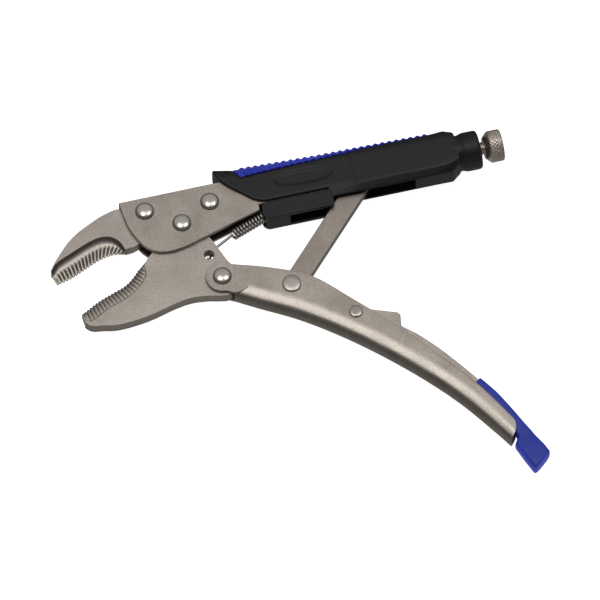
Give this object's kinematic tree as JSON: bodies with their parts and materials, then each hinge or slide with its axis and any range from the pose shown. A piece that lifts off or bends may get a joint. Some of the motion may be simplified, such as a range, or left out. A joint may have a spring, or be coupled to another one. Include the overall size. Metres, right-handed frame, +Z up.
{
  "type": "locking pliers",
  "caption": "Curved-jaw locking pliers with a toggle link, screw adjustment, release lever and a ribbed soft grip, lying open on one side.",
  "frame": {"origin": "centre of the bounding box in X and Y, at the height of the surface that the pliers lie on", "axes": "+X along the fixed handle from the jaws to the adjusting knob, +Y across the handles from the moving handle to the fixed one, +Z up through the thickness of the tool"},
  "size_m": [0.249, 0.214, 0.0209],
  "materials": {
    "sheet_nickel": "satin nickel plate on folded sheet, fine grain",
    "jaw_nickel": "satin nickel plate on forged steel, fine grain",
    "link_nickel": "satin nickel plate on flat bar",
    "lever_nickel": "satin nickel plate on sheet",
    "rivet_polished": "polished domed heads",
    "rivet_satin": "satin flat heads",
    "spring_steel": "bright drawn wire",
    "screw_steel": "nickel plate, slightly brown, knurled",
    "grip_black": "matt black moulded rubber",
    "skirt_black": "matt black hard plastic",
    "grip_blue": "royal blue moulded rubber",
    "sleeve_blue": "royal blue dipped sleeve"
  },
  "bodies": {
    "fixed_handle": {"fixed_handle_channel": "sheet_nickel", "upper_jaw": "jaw_nickel", "front_jaw_rivet": "rivet_polished", "rear_jaw_rivet": "rivet_polished", "jaw_pivot_rivet": "rivet_polished", "grip_shell": "grip_black", "grip_skirt": "skirt_black", "grip_rib_strip": "grip_blue", "return_spring": "spring_steel", "spring_anchor_pin": "rivet_satin"},
    "moving_jaw": {"lower_jaw": "jaw_nickel"},
    "moving_handle": {"lower_handle_channel": "sheet_nickel", "handle_pivot_rivet": "rivet_polished", "link_rivet": "rivet_satin", "lever_rivet": "rivet_satin"},
    "toggle": {"toggle_link": "link_nickel"},
    "release": {"release_lever": "lever_nickel", "lever_sleeve": "sleeve_blue"},
    "screw": {"adjusting_screw": "screw_steel"},
    "knob": {"knurled_knob": "screw_steel"}
  },
  "joints": [
    {"name": "jaw_pivot", "type": "hinge", "parent": "fixed_handle", "child": "moving_jaw", "pos_m": [-0.05125, 0.0782, 0.01045], "axis": [0, 0, 1], "range_deg": [-17, 0], "stiffness_Nm_per_rad": 0.5, "deforming": ["return_spring"]},
    {"name": "handle_pivot", "type": "hinge", "parent": "moving_jaw", "child": "moving_handle", "pos_m": [-0.03795, 0.0421, 0.01045], "axis": [0, 0, 1], "range_deg": [0, 35.5]},
    {"name": "link_pivot", "type": "hinge", "parent": "moving_handle", "child": "toggle", "pos_m": [-0.00355, 0.0292, 0.01045], "axis": [0, 0, 1], "range_deg": [-27.3, 0]},
    {"name": "release_pivot", "type": "hinge", "parent": "moving_handle", "child": "release", "pos_m": [0.02535, 0.0051, 0.01045], "axis": [0, 0, 1], "range_deg": [-1.5, 0]},
    {"name": "screw_advance", "type": "slide", "parent": "fixed_handle", "child": "screw", "axis": [1, 0, 0], "range_m": [0, 0.015]},
    {"name": "knob_turn", "type": "hinge", "parent": "screw", "child": "knob", "pos_m": [0.11475, 0.0879, 0.01045], "axis": [1, 0, 0], "range_deg": [0, 3600]}
  ],
  "couplings": [
    {"joint": "handle_pivot", "follows": "jaw_pivot", "ratio": -2.085},
    {"joint": "link_pivot", "follows": "jaw_pivot", "ratio": 1.6},
    {"joint": "knob_turn", "follows": "screw_advance", "rad_per_m": 4188.8}
  ]
}
